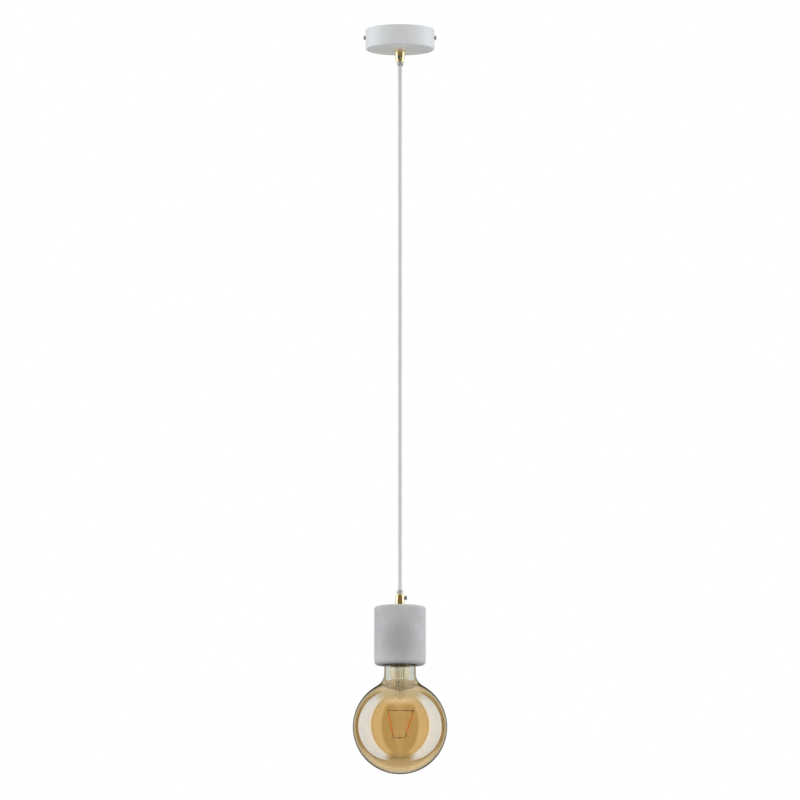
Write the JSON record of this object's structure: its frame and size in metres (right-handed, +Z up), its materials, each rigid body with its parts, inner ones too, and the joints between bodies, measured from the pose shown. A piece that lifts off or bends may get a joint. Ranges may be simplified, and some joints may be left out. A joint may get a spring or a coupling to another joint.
{
  "type": "pendant ceiling light",
  "caption": "Pendant light: round ceiling canopy, textile cord with brass grips, cast concrete lampholder housing and a large amber globe filament bulb that unscrews.",
  "frame": {"origin": "centre of the canopy in the ceiling plane that it is fixed to", "axes": "+Z up into the ceiling, +X along the bracket towards one side screw, +Y to the back"},
  "size_m": [0.125, 0.125, 0.9978],
  "materials": {
    "canopy_paint": "matte powder coat, off-white",
    "zinc_steel": "zinc-plated, satin",
    "screw_steel": "nickel-plated, polished with slight wear",
    "terminal_nylon": "moulded nylon, translucent white",
    "brass": "polished, lacquered",
    "clear_plastic": "clear moulded plastic",
    "cord_textile": "fine round textile braid, white",
    "wire_live": "brown cable insulation",
    "wire_neutral": "blue cable insulation",
    "wire_earth": "green and yellow cable insulation",
    "concrete": "smooth cast concrete with cloudy tone and pinholes",
    "holder_plastic": "moulded black thermoset",
    "ceramic": "unglazed porcelain",
    "contact_brass": "stamped strip",
    "nickel": "nickel-plated, lightly brushed",
    "black_glass": "black vitreous insulator",
    "amber_glass": "gold-amber vapour-coated glass",
    "clear_glass": "clear glass",
    "lead_wire": "fine metal wire",
    "filament": "orange phosphor coating, unlit",
    "circuit_board": "green board laminate",
    "circuit_parts": "moulded electronic parts"
  },
  "bodies": {
    "canopy": {"canopy_cup": "canopy_paint", "ceiling_bracket": "zinc_steel", "terminal_block": "terminal_nylon", "terminal_tubes": "contact_brass", "terminal_screws": "zinc_steel", "terminal_block_screw": "zinc_steel", "earth_screw": "zinc_steel", "earth_washer": "contact_brass", "canopy_grip": "brass", "canopy_collet": "clear_plastic", "canopy_lock_washer": "zinc_steel", "canopy_lock_nut": "zinc_steel", "canopy_live_wire": "wire_live", "canopy_neutral_wire": "wire_neutral", "canopy_earth_wire": "wire_earth", "cord_canopy_end": "cord_textile"},
    "side_screw_right": {"side_screw_right": "screw_steel"},
    "side_screw_left": {"side_screw_left": "screw_steel"},
    "canopy_set_screw": {"canopy_set_screw": "screw_steel"},
    "cord_link": {"cord_link": "cord_textile"},
    "lamp": {"cord_drop": "cord_textile", "lamp_grip": "brass", "lamp_collet": "clear_plastic", "concrete_housing": "concrete", "housing_washer": "zinc_steel", "housing_nut": "zinc_steel", "holder_cap": "holder_plastic", "holder_shell": "holder_plastic", "holder_insert": "ceramic", "holder_thread_sleeve": "contact_brass", "holder_centre_contact": "contact_brass", "holder_side_contact": "contact_brass", "holder_terminal_screws": "zinc_steel", "holder_live_wire": "wire_live", "holder_neutral_wire": "wire_neutral"},
    "lamp_set_screw": {"lamp_set_screw": "screw_steel"},
    "bulb_centre": {"base_eyelet": "nickel"},
    "bulb": {"base_shell": "nickel", "base_insulator": "black_glass", "glass_envelope": "amber_glass", "stem_glass": "clear_glass", "exhaust_tube": "clear_glass", "pinch_bead": "clear_glass", "lead_wires": "lead_wire", "support_rod": "clear_glass", "cross_wire": "lead_wire", "filaments": "filament", "filament_ends": "lead_wire", "hub_ring": "lead_wire", "driver_board": "circuit_board", "driver_parts": "circuit_parts"}
  },
  "joints": [
    {"name": "swing_y", "type": "hinge", "parent": "canopy", "child": "cord_link", "pos_m": [0, 0, -0.05155], "axis": [0, 1, 0], "range_deg": [-25, 25]},
    {"name": "swing_x", "type": "hinge", "parent": "cord_link", "child": "lamp", "pos_m": [0, 0, -0.06755], "axis": [1, 0, 0], "range_deg": [-25, 25]},
    {"name": "bulb_travel", "type": "slide", "parent": "lamp", "child": "bulb_centre", "axis": [0, 0, -1], "range_m": [0, 0.01815]},
    {"name": "bulb_turn", "type": "hinge", "parent": "bulb_centre", "child": "bulb", "pos_m": [0, 0, -0.8188], "axis": [0, 0, -1], "range_deg": [0, 1800]},
    {"name": "side_screw_right_turn", "type": "hinge", "parent": "canopy", "child": "side_screw_right", "pos_m": [0.046, 0, -0.0105], "axis": [1, 0, 0], "continuous": true},
    {"name": "side_screw_left_turn", "type": "hinge", "parent": "canopy", "child": "side_screw_left", "pos_m": [-0.046, 0, -0.0105], "axis": [-1, 0, 0], "continuous": true},
    {"name": "canopy_set_screw_turn", "type": "hinge", "parent": "canopy", "child": "canopy_set_screw", "pos_m": [0, 0, -0.0385], "axis": [-0.1219, -0.9925, 0], "continuous": true},
    {"name": "lamp_set_screw_turn", "type": "hinge", "parent": "lamp", "child": "lamp_set_screw", "pos_m": [0, 0, -0.7635], "axis": [1, 0, 0], "continuous": true}
  ],
  "couplings": [
    {"joint": "bulb_travel", "follows": "bulb_turn", "m_per_rad": 0.00057757}
  ]
}
